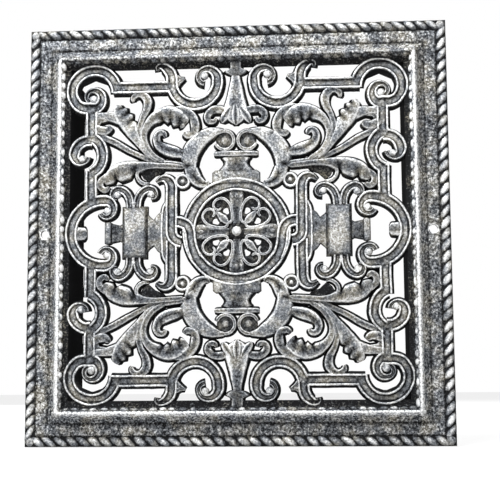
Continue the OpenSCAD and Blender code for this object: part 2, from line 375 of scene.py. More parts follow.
def quartered(bm):
    """Mirrors a quarter of the scroll work to the other three"""
    # what lies right on an axis, as a leaf and two lobes do, comes out twice in the same place
    for axis in ((-1, 1, 1), (1, -1, 1)):
        made = bmesh.ops.duplicate(bm, geom=bm.verts[:] + bm.edges[:] + bm.faces[:])["geom"]
        bmesh.ops.scale(bm, vec=axis, verts=[g for g in made if isinstance(g, bmesh.types.BMVert)])


def raised(bm):
    """Draws the upper end of the scroll work up to the frame, as it lies closer there than at the foot"""
    for vert in bm.verts:
        share = min(1, max(0, (vert.co.y - RAISED_FROM) / RAISED_OVER))
        vert.co.y += RAISED_BY * share * share * (3 - 2 * share)


def uneven(bm):
    """Lets the work wander from its true lines, as hand carved patterns do, and paints its foot darker as a
    painted shade where the light falls off
    """
    wear_and_shade = bm.verts.layers.float["wear_and_shade"]
    for vert in bm.verts:
        # painted shade: the foot is made darker, for the light falling off towards the bottom
        vert[wear_and_shade] -= FOOT_PAINTED_SHADE * max(0, -vert.co.y) / HALF
        # the noise takes its seed from the clock, so this drift isn't the same in every run
        slow, quick = noise_vector(vert.co * SLOW_DRIFT), noise_vector(vert.co * QUICK_DRIFT)
        drift = slow * SLOW_REACH + quick * QUICK_REACH
        from_edge = HALF - EDGE_KEPT - max(abs(vert.co.x), abs(vert.co.y))
        outwards = drift.z * OUTWARDS if vert.co.z > FOOT else 0
        vert.co += Vector((drift.x, drift.y, outwards)) * min(1, max(0, from_edge / EDGE_FADE))


def finish_piece(bm, name, kind):
    """Stands the flat work upright, and makes it a piece of the casting"""
    if name != "moulding":
        uneven(bm)
    bmesh.ops.transform(bm, matrix=STAND, verts=bm.verts)
    bmesh.ops.recalc_face_normals(bm, faces=bm.faces)
    mesh = bpy.data.meshes.new(name)
    bm.to_mesh(mesh)
    bm.free()
    if not mesh.polygons:
        raise RuntimeError(f"{name} came out empty")
    mesh.attributes.remove(mesh.attributes["station"])
    mesh.shade_smooth()
    mesh.set_sharp_from_angle(angle=math.radians(SHARP_ANGLE))
    piece = bpy.data.objects.new(name, mesh)
    bpy.context.scene.collection.objects.link(piece)
    mesh.materials.append(iron(kind))
    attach(piece, "root")
    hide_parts("grille")


def quarter(turn):
    """Turns one side of the face to the next, as often as is given"""
    return Matrix.Rotation(turn * math.pi / 2, 4, "Z")


# Lines of the scroll work

# Spacing of the points of an arc
ARC_STEP = 1.2
# Face width of a channelled strap, and how fast a curl narrows: 1 would take its whole length
WIDE = 8.4
CURL_NARROWS = 1.6


def arc(centre, radius, start, end, end_radius=None):
    """Points along an arc, or along a spiral where the radius changes; angles in degrees"""
    last = radius if end_radius is None else end_radius
    sweep_angle = math.radians(end - start)
    count = max(2, math.ceil(abs(sweep_angle) * max(radius, last) / ARC_STEP))
    points = []
    for i in range(count + 1):
        share = i / count
        angle = math.radians(start) + sweep_angle * share
        r = radius + (last - radius) * share
        points.append((centre[0] + r * math.cos(angle), centre[1] + r * math.sin(angle)))
    return points


def smooth_line(points, step=1.0):
    """A Catmull-Rom curve through points of any number of values, sampled about every step millimetres"""
    out = []
    for i in range(len(points) - 1):
        p = [points[max(i - 1, 0)], points[i], points[i + 1], points[min(i + 2, len(points) - 1)]]
        count = max(1, math.ceil(math.dist(p[1][:2], p[2][:2]) / step))
        for j in range(count):
            t = j / count
            out.append(tuple(
                0.5 * (2 * b + (c - a) * t + (2 * a - 5 * b + 4 * c - d) * t * t
                       + (3 * b - a - 3 * c + d) * t**3)
                for a, b, c, d in zip(*p)
            ))
    out.append(tuple(points[-1]))
    return out


def resampled(points, step=1.1):
    """The same line with points at an even spacing"""
    gaps = [math.dist(a[:2], b[:2]) for a, b in zip(points, points[1:])]
    total = sum(gaps)
    count = max(2, math.ceil(total / step))
    out, i, done = [], 0, 0.0
    for k in range(count):
        want = total * k / count
        while i < len(gaps) - 1 and done + gaps[i] < want:
            done += gaps[i]
            i += 1
        share = (want - done) / gaps[i] if gaps[i] else 0
        out.append(tuple(a + (b - a) * share for a, b in zip(points[i], points[i + 1])))
    out.append(tuple(points[-1]))
    return out


def sides(points, closed=False):
    """The unit vector to the left of a line at each of its points"""
    out = []
    last = len(points) - 1
    for i in range(len(points)):
        a = points[i - 1] if closed else points[max(i - 1, 0)]
        b = points[(i + 1) % len(points)] if closed else points[min(i + 1, last)]
        dx, dy = b[0] - a[0], b[1] - a[1]
        length = math.hypot(dx, dy) or 1
        out.append((-dy / length, dx / length))
    return out


def of_width(points, width=WIDE):
    """Gives the points of a line one width"""
    return [(x, y, width) for x, y in points]


def narrowing(points, end):
    """Gives the points of a curl widths that shrink from a strap's own towards its eye"""
    last = len(points) - 1
    return [(x, y, WIDE + (end - WIDE) * min(1, CURL_NARROWS * i / last)) for i, (x, y) in enumerate(points)]


def strap_lines():
    """Middle lines of the channelled straps of one quarter, each point as (x, y, width)"""
    volute = of_width(arc((104, 102.6), 16.8, 180, 20) + arc((107.5, 103.9), 13, 16, -40))
    volute += of_width(arc((109.4, 102.3), 10.8, -46, -100))
    volute += narrowing(arc((105.4, 99.0), 8.2, -112, -405, end_radius=3.4), 3.4)
    tip = [
        (57.0, 118.2, 2.0), (57.0, 120.8, 3.6), (53.8, 121.4, 5.6), (49.8, 118.8, 7.6), (47.4, 115.2, 8.3),
        (46.8, 111.4, WIDE),
    ]
    top = smooth_line(tip)[:-1] + of_width(arc((30, 109.4), 16.8, 7, -180))
    top += narrowing(arc((21.8, 111.6), 8.8, 196, -75, end_radius=4.0), 3.6)
    loop = of_width(arc((107.6, 57.4), 10.8, 104, 20))
    loop += narrowing(arc((112.2, 57.0), 6.4, 14, -170, end_radius=3.9), 3.6)
    side = of_width(arc((96.6, 0), 23.8, -3, 90))
    side += narrowing(arc((95.2, 16.6), 7.2, 92, 332, end_radius=4.0), 3.8)
    lyre = [
        (72.0, 18, 5.6), (71.4, 24, 5.6), (68.6, 29.4, 5.6), (64.2, 32.0, 5.4), (60.2, 31.2, 4.8),
        (58.4, 28.2, 4), (59.4, 25.6, 3), (61.8, 25.2, 2.4),
    ]
    outer_lyre = [
        (76.8, 18, 5.6), (77.4, 24, 5.6), (80.2, 29.4, 5.6), (84.6, 32.0, 5.4), (88.4, 31, 4.8),
        (90.0, 28, 4), (89.0, 25.6, 3), (86.6, 25.2, 2.4),
    ]
    return [
        of_width([(46.9, 106), (90, 106)]),
        volute,
        top,
        of_width([(105.7, 93), (105.7, 68)]),
        of_width(arc((111.7, 57.2), 14.3, 113, 247)),
        loop,
        of_width([(105.7, 46), (105.7, 21)]),
        side,
        smooth_line(lyre),
        smooth_line(outer_lyre),
    ]


def side_lines():
    """Straps of the interlace beside the ring: the one behind, the lower and the upper upright, the tie"""
    hook = smooth_line([
        (46.9, 30, WIDE), (47, 33.5, WIDE), (48.4, 37, WIDE * 0.95), (51.4, 39.2, WIDE * 0.75),
        (54.8, 38.9, WIDE * 0.5), (58, 36.6, WIDE * 0.22),
    ])
    upper = of_width(arc((39.4, 0.4), 7.5, -86, -2) + [(46.9, y) for y in (0.4, 12, 24)]) + hook
    lower = of_width([(46.9, -6), (46.9, -24)]) + [(x, -y, w) for x, y, w in hook]
    tie = smooth_line(of_width([
        (29.0, -18.6), (31.6, -12), (33.0, -5), (33.6, 0.2), (35.8, 5.0), (40.4, 7.2), (43.4, 7.4),
    ]))
    back = smooth_line([(48.2, 20.5, 7), (50.2, 15, 8), (50.8, 0, 8), (50.2, -15, 8), (48.2, -20.5, 7)])
    return [back, lower, upper, tie]


# Bosses in the eyes of one quarter, as (middle, radius)
BOSSES = [
    ((104.6, 98.0), 3.2), ((22.8, 113.8), 3.1), ((112.6, 54.8), 2.8), ((93.6, 16.0), 3.1), ((39, 37), 1.6),
    ((62.4, 28.2), 2.7), ((86.2, 28.0), 2.7), ((74.4, 21.6), 1.9),
]


# How far off another strap is looked for, and the length over which a rim sinks where straps meet
NEARBY = 12
RIM_SINKS = 1.3


def section_profile(width, left, right, scale):
    """Section of a strap as (across, height, wear), with each rim's height as a share of its full height"""
    rim, top, floor, draft = mm("rim_width") * scale, mm("rim_height"), mm("floor_height"), mm("draft")
    half = width / 2

    def flank(side, share):
        crest = floor + (top - floor) * share
        bright = (0.34 + 0.44 * share) * (0.6 + 0.4 * scale)
        return [
            (side * (half + draft), 0.0, 0.0),
            (side * (half + draft * 0.75), 1.2, 0.0),
            (side * (half + draft * 0.25), min(3.4, crest - 0.4), 0.03),
            (side * half, crest - 0.75, 0.16 + 0.1 * share),
            (side * (half - 0.22 * scale), crest - 0.22, bright * 0.85),
            (side * (half - 0.5 * rim), crest, bright),
            (side * (half - rim + 0.25), crest - 0.2 * share, bright * 0.92),
            (side * (half - rim - 0.05), floor + (crest - floor) * 0.42, 0.26),
            # painted shade: low wear at the foot of a full rim darkens the channel floor beside it, where the
            # rim shades it
            (side * (half - rim - 0.35), floor - 0.1, 0.08 + 0.28 * (1 - share)),
        ]

    core = max(half - rim - 0.35, 0.1)
    middle = [(-core * 0.5, floor - 0.2, 0.44), (0, floor - 0.3, 0.5), (core * 0.5, floor - 0.2, 0.44)]
    return flank(-1, left) + middle + flank(1, right)[::-1]


def openness(point, others, reach):
    """How far a rim has to sink where it runs into the channel of another strap: 1 stands, 0 is level"""
    nearest = min((math.dist(point, q[:2]) - q[2] / 2 for q in others), default=99)
    return min(1, max(0, (nearest + reach) / RIM_SINKS + 0.5))


def inner_part(line, ends=3.6):
    """The points of a line that lie further than a given length from both of its ends"""
    step = 1.2
    skip = round(ends / step)
    return resampled(line, step)[skip:-skip]


def strap(bm, line, others, lift=0.0, closed=False):
    """One channelled strap along a line, its rims sunk where it joins or passes under the others"""
    points = resampled(line)
    if closed:
        points = points[:-1]
    across = sides(points, closed)
    rim = mm("rim_width")
    rings = []
    for (x, y, w), (nx, ny) in zip(points, across):
        scale = min(1, w / WIDE + 0.18)
        reach_out = w / 2 - rim * scale / 2
        near = [q for q in others if abs(q[0] - x) < NEARBY and abs(q[1] - y) < NEARBY]
        left = openness((x - nx * reach_out, y - ny * reach_out), near, rim * 0.75)
        right = openness((x + nx * reach_out, y + ny * reach_out), near, rim * 0.75)
        rings.append([
            ((x + nx * a, y + ny * a, h + (lift if h > FOOT else 0)), rub)
            for a, h, rub in section_profile(w, left, right, scale)
        ])
    sweep(bm, rings, closed_path=closed)


def dome(bm, centre, radius, height, base, rub_low=0.2, rub_high=0.75, segments=20, size=(1, 1), angle=0):
    """A round or oval boss that rises from a base height"""
    part = new_work()
    wear_and_shade = part.verts.layers.float["wear_and_shade"]
    bmesh.ops.create_uvsphere(part, u_segments=segments, v_segments=12, radius=1)
    for vert in part.verts:
        vert[wear_and_shade] = rub_low + (rub_high - rub_low) * max(0, vert.co.z) ** 0.7
    bmesh.ops.scale(part, vec=(radius * size[0], radius * size[1], height), verts=part.verts)
    turn = Matrix.Rotation(math.radians(angle), 3, "Z")
    bmesh.ops.rotate(part, cent=(0, 0, 0), matrix=turn, verts=part.verts)
    bmesh.ops.translate(part, vec=(centre[0], centre[1], base), verts=part.verts)
    for vert in part.verts:
        vert.co.z = max(vert.co.z, 0.3)
    add(bm, part)


# Section of a leaf, as (share of the half width, share of the height, wear)
LEAF_SECTION = (
    (-1, 0, 0.0), (-1, 0.25, 0.0), (-1, 0.5, 0.02), (-0.95, 0.74, 0.42), (-0.82, 0.9, 0.82),
    (-0.56, 0.97, 0.52), (-0.24, 1.0, 0.38), (0, 1.0, 0.36), (0.24, 1.0, 0.38), (0.56, 0.97, 0.52),
    (0.82, 0.9, 0.82), (0.95, 0.74, 0.42), (1, 0.5, 0.02), (1, 0.25, 0.0), (1, 0, 0.0),
)
# Height of a leaf's ends, and half the width of its vein as a share of its half width
LEAF_END = 3.2
VEIN_HALF = 0.3
# Folds between lobes lean back by this share of a lobe from the vein to the edge
FOLD_LEAN = 0.12
# Half width and lean of a crease as shares of the leaf's length, how far beyond the vein it begins, how
# deep it cuts, and how far the creased side rolls down
CREASE, CREASE_LEAN = 0.055, 0.04
CREASE_START = 0.6
CREASE_CUT, EDGE_ROLL = 7, 1.6
# Wear of the crown where a leaf is rubbed evenly
EVEN_WEAR = 0.56


def leaf_rings(line, height, vein=0.0, lobes=0, folds=(), depth=0.0, one_side=0, rub=1.0, even=0.0, step=0.9):
    """Rings of a leaf with a crowned back, a vein along it, and lobes parted by slanting folds

    The folds are either evenly spaced between a number of lobes, or creases at given shares of the length,
    which deepen from beyond the vein towards one side.
    """
    points = resampled(smooth_line(line, step), step)
    across = sides(points)
    draft = mm("draft") * 0.9
    total = len(points) - 1
    rings = []
    for i, ((x, y, w), (nx, ny)) in enumerate(zip(points, across)):
        share = i / total
        fade = min(1, share * 6 + 0.5, (1 - share) * 5 + 0.4)
        near_end = min(1, (min(i, total - i) * step + 0.25) / 2)
        w *= math.sqrt(near_end * (2 - near_end))
        top = LEAF_END + (height * (0.8 + 0.2 * min(1, w / 4)) - LEAF_END) * fade
        ring = []
        for a, h, wear_and_shade in LEAF_SECTION:
            fold, reach = 1.0, abs(a)
            if folds:
                reach = max(0, (a * one_side + CREASE_START) / (1 + CREASE_START))
                leant = share - CREASE_LEAN * reach
                fold = min(1, *(abs(leant - crease) / CREASE for crease in folds)) ** 0.8
            elif lobes and a and a * one_side >= 0:
                fold = abs(math.sin(math.pi * (lobes * share - FOLD_LEAN * lobes * abs(a)))) ** 0.6
            cusp = (1 - fold) * reach**0.6
            wide = max(0.4, w * (1 - depth * cusp))
            spread = draft * (1 - min(1, h / 0.5)) if abs(a) == 1 else 0
            out = a * wide + math.copysign(spread, a)
            rolled = EDGE_ROLL * reach * reach if folds else 0
            # the deepest creases take a few points of the edge up to 0.4 mm behind the wall plane
            z = top * h - (CREASE_CUT * cusp * depth + rolled * fade if h > 0.4 else 0)
            if h > 0.9:
                wear_and_shade += (EVEN_WEAR - wear_and_shade) * even
            wear_and_shade = wear_and_shade * rub * (1 - 0.85 * cusp) - (0.3 * cusp * cusp if folds else 0)
            if abs(a) < VEIN_HALF:
                groove = vein * (1 - abs(a) / VEIN_HALF) * min(1, w / 4)
                z -= groove
                wear_and_shade *= 1 - 0.6 * min(1, groove * 1.4)
            ring.append(((x + nx * out, y + ny * out, z), wear_and_shade))
        rings.append(ring)
    return rings


def leaf(bm, line, height, **shape):
    sweep(bm, leaf_rings(line, height, **shape))


# Leaves of one quarter: middle line as (x, y, half width), then the form of the back
LEAVES = [
    # long stem to the outer loop
    (
        [(35.4, 48.4, 2.0), (42, 49.2, 2.4), (50, 50.4, 2.2), (60, 52, 1.9), (74, 58.4, 1.9),
         (88, 66.4, 2.2), (103, 73.2, 2.2)],
        {"height": 5.6, "vein": 0.5},
    ),
    # fan leaf: its blade, notched on the side of the slender leaf, and the arm that reaches the strap
    (
        [(57, 52, 1.6), (65, 58.6, 2.0), (70.5, 65.4, 2.6), (74.8, 72, 4.2), (78.4, 78.4, 6.0),
         (82, 84.4, 6.6), (85.4, 89.6, 5.2), (87.4, 93.6, 2.6)],
        {"height": 7.6, "folds": (0.67, 0.79, 0.9), "depth": 0.34, "one_side": 1, "rub": 1.0, "even": 0.7},
    ),
    ([(80, 79.6, 3.0), (85.6, 83.4, 4.2), (91.4, 85.0, 3.6), (97.4, 85.6, 2.8), (104, 85.8, 2.6)],
     {"height": 6.6, "even": 0.6, "rub": 0.95}),
    (
        [(90, 84.2, 1.6), (95.4, 83.6, 1.8), (99.8, 82.4, 1.7), (100.6, 79.6, 1.3)],
        {"height": 6.2, "rub": 0.9},
    ),
    (
        [(104, 78.6, 2.6), (99.4, 75.6, 3.3), (94.6, 75.4, 3.0), (91.4, 78.2, 2.0)],
        {"height": 6.0, "rub": 0.9},
    ),
    # slender leaf with a hooked tip
    (
        [(60, 52, 1.2), (68.2, 62, 1.8), (71.0, 73, 2.2), (69.0, 82.5, 2.1), (65.4, 89.6, 2.8),
         (64.6, 95.6, 3.3), (67.4, 100.0, 2.9), (71.8, 101.2, 2.2), (75.4, 98.8, 2.0), (75.2, 95.8, 1.3)],
        {"height": 6.2, "vein": 0.5},
    ),
    # curled leaf round the upper opening, and its turned tip
    (
        [(52, 51.4, 1.6), (61, 57.4, 1.9), (66.4, 66.4, 2.0), (66.8, 74, 2.4), (63.0, 80.6, 3.2),
         (56.6, 84.6, 4.8), (48.6, 85.6, 6.4), (41.6, 82.6, 6.6), (36.6, 78.6, 5.4)],
        {"height": 7.8, "folds": (0.67, 0.79, 0.91), "depth": 0.36, "one_side": 1, "rub": 1.05},
    ),
    (
        [(46, 89.4, 2.0), (38.6, 88.4, 3.2), (32.2, 84.0, 3.4), (29.6, 77.6, 3.4), (31.0, 72.4, 3.0),
         (35.4, 70.6, 2.4), (38.0, 73.0, 1.6)],
        {"height": 7.0, "vein": 0.3, "lobes": 3, "depth": 0.24, "one_side": 1},
    ),
    # small leaf inside that opening
    (
        [(36, 57.4, 3.0), (43.4, 58.4, 4.2), (50, 60.2, 4.4), (55.2, 63.6, 3.9), (57.8, 68.2, 3.0),
         (56.4, 72.2, 2.4), (52.8, 72.6, 2.0), (51.4, 70.0, 1.5)],
        {"height": 6.6, "vein": 0.6, "lobes": 2, "depth": 0.3, "one_side": 1, "rub": 1.1},
    ),
    # lower broad leaf and the curl at its tip
    (
        [(38.5, 47.4, 1.6), (48, 48.2, 1.9), (58, 49.0, 2.0), (66, 48.8, 2.8), (73, 47.6, 4.8),
         (80.5, 45.6, 6.8), (87.5, 43.2, 6.6), (93, 39.8, 4.6), (96.4, 37.2, 2.6)],
        {"height": 8.2, "folds": (0.57, 0.82), "depth": 0.5, "one_side": -1, "rub": 0.95},
    ),
    (
        [(93, 43, 2.4), (98.6, 38.6, 2.4), (98.8, 33.8, 2.4), (95.4, 31.6, 2.2), (92.6, 34, 1.5)],
        {"height": 6.2, "rub": 0.9},
    ),
    # rim of the hollow beside it
    (
        [(54, 49.6, 1.0), (62, 49.4, 1.1), (69.0, 47.2, 1.2), (72.4, 43.0, 1.3), (70.8, 38.2, 1.3),
         (66.4, 35.6, 1.3), (63.4, 36.4, 0.9)],
        {"height": 5.9, "rub": 1.3},
    ),
    # heavy scroll that springs from the ring: its cup, its shoulder and its neck
    (
        [(33.2, 47, 4.8), (31.2, 41.6, 5.1), (28.6, 37.8, 4.5), (25.2, 35.2, 3.5), (21.6, 34.6, 2.5),
         (20.0, 36.6, 1.4)],
        {"height": 6.8, "vein": 1.3},
    ),
    (
        [(31.6, 41, 2.6), (33.2, 46, 4.6), (33.6, 53, 6.0), (31.6, 60.4, 6.6), (25.8, 67.2, 6.0),
         (18.8, 71.4, 4.6), (13.0, 73.0, 2.4), (8.6, 73.2, 1.3)],
        {"height": 8.0, "folds": (0.13,), "depth": 0.4, "one_side": -1, "rub": 0.98, "even": 0.9},
    ),
    # side curl at the foot of the urn
    (
        [(5, 86.2, 2.6), (11.6, 88.6, 2.8), (17, 88.2, 2.9), (20.8, 84.6, 2.7), (19.6, 80.6, 2.3),
         (16.0, 80.2, 1.8), (14.8, 82.8, 1.2)],
        {"height": 6.8, "vein": 0.5, "lobes": 3, "depth": 0.2, "one_side": -1},
    ),
    (
        [(2.2, 92.0, 0.8), (4.4, 88, 2.0), (7.4, 84, 3.0), (9.4, 80.8, 2.2), (10, 79, 0.8)],
        {"height": 8.6, "vein": 0.9, "rub": 1.25},
    ),
    (
        [(0, 93.0, 0.8), (0, 88.6, 2.4), (0, 83.6, 3.2), (0, 79.4, 2.2), (0, 77.2, 0.8)],
        {"height": 8.8, "vein": 1.1, "rub": 1.25},
    ),
]
# Rims round the volutes of the heavy scrolls
VOLUTE_MIDDLE = (8.2, 66.4)
VOLUTE = of_width(arc(VOLUTE_MIDDLE, 6.7, 78, 342), 1.15)
# Half outlines of the turned pieces in the middle, as (height, half width), with their height and wear
URN = [(78, 2.0), (80, 5.0), (83, 8.0), (87, 9.4), (91, 8.4), (98, 6.4), (105, 4.7), (111, 3.3), (114, 3.3)]
COLLAR = [(112.6, 3.4), (114.4, 6.4), (115.8, 8.2), (117, 8.2), (118.2, 4.6), (121, 4.2), (127, 4.6)]
CAP = [(43, 13), (45.4, 11.6), (48, 9.2), (50, 8.4), (52.4, 9.6), (54.6, 13.0)]
TURNED = ((URN, 7.4, 1.12), (COLLAR, 6.2, 0.8), (CAP, 5.4, 0.8))
# The bar across the top of the cap, and the plate between the cap and the ring
CROSSBAR = [(-16.2, 56.8, 1.5), (0, 56.8, 2.0), (16.2, 56.8, 1.5)]
CAP_PLATE = [(-17.2, 35), (17.2, 35), (17.2, 42.8), (15, 44.6), (-15, 44.6), (-17.2, 42.8)]
# Lobes of one quarter, as (middle, half sizes, angle, height), and the height they rise from
LOBES = [
    ((24.6, 70.4), (4.2, 2.8), 34, 8.6), ((35.6, 58.4), (3.4, 4.2), 0, 8.0),
    ((37.8, 53.6), (2.6, 3.4), -20, 7.0),
    ((0, 25.6), (2.0, 2.6), 0, 6.6), ((3.4, 25.0), (1.7, 2.4), -24, 6.2), ((25.6, 0), (2.6, 2.0), 0, 6.6),
    ((25.0, 3.4), (2.4, 1.7), 24, 6.2),
]
LOBE_BASE = 2.2
# Cusps and lugs on the straps of one quarter, as leaves with their heights
HOOKS = [
    ([(44.6, 104.4, 1.2), (41.4, 109.4, 1.5), (37.0, 112.4, 0.7)], 5.8),
    ([(44.6, 114.6, 1.4), (41.4, 112.2, 1.4), (37.4, 112.6, 0.7)], 5.8),
    ([(118.6, 0.6, 4.8), (113, 0.6, 4.2), (110, 0.6, 3.8), (108.8, 0.6, 2.8)], 5.0),
]
# The round button beside the ring, and the ring itself
BUTTON_MIDDLE, BUTTON_RADIUS, BUTTON_FACETS = (39, 37), 5.4, 26
RING_RADIUS, RING_WIDTH = 34.4, 9.4


def strap_button(bm, centre, radius):
    """A round button: a ring rim round a sunk disc"""
    section = (
        (radius + 1.2, 0, 0), (radius + 0.3, 3.6, 0.08), (radius - 0.1, 4.9, 0.6), (radius - 0.8, 5.5, 1.0),
        (radius - 1.5, 5.1, 0.7), (radius - 1.9, 4.2, 0.15), (0.4, 4.0, 0.3),
    )
    turns = [2 * math.pi * k / BUTTON_FACETS for k in range(BUTTON_FACETS)]
    sweep(bm, [
        [((centre[0] + a * math.cos(t), centre[1] + a * math.sin(t), h), rub) for t in turns]
        for a, h, rub in section
    ])


class GRILLE_OT_straps(bpy.types.Operator):
    """Model the channelled straps and scrolls, with the bosses in their eyes"""

    bl_idname = "grille.straps"
    bl_label = "Straps and scrolls"

    def execute(self, context):
        bm = new_work()
        lines = strap_lines()
        for i, line in enumerate(lines):
            others = [q for j, other in enumerate(lines) if j != i for q in inner_part(other)]
            # lifted by a hair in turn, so that no two faces lie in one plane where straps meet
            strap(bm, line, others, lift=0.02 * (i % 3))
        for centre, radius in BOSSES:
            dome(bm, centre, radius, 2.5, mm("floor_height") - 0.3)
        strap_button(bm, BUTTON_MIDDLE, BUTTON_RADIUS)
        for line, height in HOOKS:
            leaf(bm, line, height)
        quartered(bm)
        ties = []
        for side in (1, -1):
            back, lower, upper, tie = [[(side * x, y, w) for x, y, w in line] for line in side_lines()]
            strap(bm, back, inner_part(upper) + inner_part(lower), lift=-0.5)
            strap(bm, lower, inner_part(upper))
            strap(bm, upper, inner_part(tie), lift=0.1)
            strap(bm, tie, [], lift=0.3)
            ties += inner_part(tie, 2)
        strap(bm, of_width(arc((0, 0), RING_RADIUS, 0, 360), RING_WIDTH), ties, closed=True)
        raised(bm)
        finish_piece(bm, "straps", "relief")
        return {"FINISHED"}


class GRILLE_OT_leaves(bpy.types.Operator):
    """Model the leaves, stems and heavy scrolls of the four quarters"""

    bl_idname = "grille.leaves"
    bl_label = "Leaves"

    def execute(self, context):
        bm = new_work()
        for line, shape in LEAVES:
            leaf(bm, line, **shape)
        leaf(bm, VOLUTE, 6.6, rub=1.2)
        dome(bm, VOLUTE_MIDDLE, 6.6, 0.9, 1.8, rub_low=0.08, rub_high=0.36)
        dome(bm, (8.2, 66.0), 2.7, 2.2, 3.4, rub_low=0.3, rub_high=0.5)
        for place, size, angle, height in LOBES:
            form = {"rub_low": 0.08, "rub_high": 0.56, "size": size, "angle": angle}
            dome(bm, place, 1, height - LOBE_BASE, LOBE_BASE, **form)
        quartered(bm)
        for turn in (1, -1):
            for half, height, rub in TURNED:
                leaf(bm, [(0, turn * y, w) for y, w in half], height, rub=rub)
            leaf(bm, [(x, turn * y, w) for x, y, w in CROSSBAR], 6.2, rub=1.05)
            bevelled_plate(bm, [(x, turn * y) for x, y in CAP_PLATE], 5.2, 1.0, 0.46, 0.2)
        raised(bm)
        finish_piece(bm, "leaves", "relief")
        return {"FINISHED"}


# Rosette: an arm, the rim of the scroll on one side of a diagonal, and the lobe on the diagonal
ARM = [(0, 3, 2.4), (0, 8, 2.6), (0, 13, 2.7), (0, 19, 4.0), (0, 23, 5.2), (0, 26, 5.4), (0, 30, 5.0)]
HEART = [
    (8.2, 12, 0.9), (7.2, 7.8, 0.95), (5, 6.6, 0.95), (3.2, 8.5, 0.95), (3.1, 13.5, 0.95),
    (4.6, 19.2, 0.95), (7.5, 23, 1.0), (10.8, 24.4, 0.9), (14.4, 23.2, 0.9), (16.4, 20.2, 0.9),
    (15.8, 17.0, 0.85), (13, 15.8, 0.8), (11.0, 17.4, 0.8),
]
LOBE = [(6.5, 6.5, 1.8), (9.6, 9.6, 2.8), (12.4, 12.4, 1.8), (14.6, 14.6, 0.8)]
# The same as (line, height, wear, whether it is mirrored across the diagonal too)
ROSETTE_LEAVES = ((ARM, 5.2, 0.72, False), (HEART, 5.8, 1.4, True), (LOBE, 5.7, 1.1, False))
# Its floor: radius, underside and thickness, and the place and radius of a hole
FLOOR_RADIUS, FLOOR_UNDER, FLOOR_THICK = 30.6, 0.4, 2.0
HOLE_PLACE = (7.4, 15.0)
HOLE_RADIUS = 2.5


class GRILLE_OT_rosette(bpy.types.Operator):
    """Model the rosette inside the ring"""

    bl_idname = "grille.rosette"
    bl_label = "Ring and rosette"

    def execute(self, context):
        bm = new_work()
        rosette_floor(bm)
        for turn in range(4):
            for line, height, rub, both in ROSETTE_LEAVES:
                for mirror in (False, True)[: 1 + both]:
                    flat = [(y, x, w) if mirror else (x, y, w) for x, y, w in line]
                    turned = [(*(quarter(turn) @ Vector((x, y, 0)))[:2], w) for x, y, w in flat]
                    leaf(bm, turned, height, rub=rub, step=0.7)
        dome(bm, (0, 0), 6.0, 1.0, 4.6, rub_low=0.02, rub_high=0.1)
        dome(bm, (0, 0), 3.7, 3.0, 4.8, rub_low=0.2, rub_high=0.78)
        finish_piece(bm, "rosette", "relief")
        return {"FINISHED"}


def rosette_floor(bm):
    """The low floor of the rosette, with its eight holes"""
    part = new_work()
    wear_and_shade = part.verts.layers.float["wear_and_shade"]
    circles = [((0, 0), FLOOR_RADIUS, 64)]
    for k in range(4):
        for x, y in (HOLE_PLACE, HOLE_PLACE[::-1]):
            circles.append(((quarter(k) @ Vector((x, y, 0)))[:2], HOLE_RADIUS, 20))
    for place, radius, facets in circles:
        level = Matrix.Translation((*place, FLOOR_UNDER))
        bmesh.ops.create_circle(part, segments=facets, radius=radius, matrix=level)
    bmesh.ops.triangle_fill(part, use_beauty=True, edges=part.edges[:])
    made = bmesh.ops.extrude_face_region(part, geom=part.faces[:])["geom"]
    top = [g for g in made if isinstance(g, bmesh.types.BMVert)]
    bmesh.ops.translate(part, vec=(0, 0, FLOOR_THICK), verts=top)
    for vert in top:
        vert[wear_and_shade] = 0.13
    add(bm, part)


def bevelled_plate(bm, outline, height, edge, rub, side_rub):
    """A flat piece with a bevelled top from its outline"""
    part = new_work()
    wear_and_shade = part.verts.layers.float["wear_and_shade"]
    base = bmesh.ops.contextual_create(part, geom=outline_edges(part, outline))["faces"]
    made = bmesh.ops.extrude_face_region(part, geom=base)["geom"]
    top = [g for g in made if isinstance(g, bmesh.types.BMVert)]
    face = [g for g in made if isinstance(g, bmesh.types.BMFace)][-1]
    bmesh.ops.translate(part, vec=(0, 0, height - edge), verts=top)
    for vert in top:
        vert[wear_and_shade] = side_rub
    bmesh.ops.recalc_face_normals(part, faces=part.faces)
    bmesh.ops.inset_region(part, faces=[face], thickness=edge, depth=edge, use_even_offset=True)
    for vert in face.verts:
        vert[wear_and_shade] = rub
    add(bm, part)


def outline_edges(part, outline):
    """The edges of a closed outline in the wall plane"""
    verts = [part.verts.new((x, y, 0)) for x, y in outline]
    return [part.edges.new((verts[k - 1], verts[k])) for k in range(len(verts))]


# Plates of the right side, as (outline, height, bevel, wear of the top, wear of the sides): the tablet, its
# border, the neck and the foot of its baluster, and the plate behind
TABLETS = (
    ([(65.0, -18), (81.8, -18), (81.8, 18), (65.0, 18)], 7.6, 1.8, 0.5, 0.2),
    ([(64.0, -19), (82.8, -19), (82.8, 19), (64.0, 19)], 4.4, 0.7, 0.2, 0.02),
    ([(80, -8.6), (84.5, -6), (91, -7.4), (91, 7.4), (84.5, 6), (80, 8.6)], 3.8, 0.8, 0.32, 0.03),
    ([(90.6, -7.8), (92.8, -8.6), (95.6, -7.6), (95.6, 7.6), (92.8, 8.6), (90.6, 7.8)], 5.6, 0.9, 0.5, 0.1),
    (
        [(50, -19), (57.6, -13), (60, -9.6), (63, -12), (68, -19), (68, 19), (63, 12), (60, 9.6),
         (57.6, 13), (50, 19)],
        3.8, 0.7, 0.42, 0.03,
    ),
)


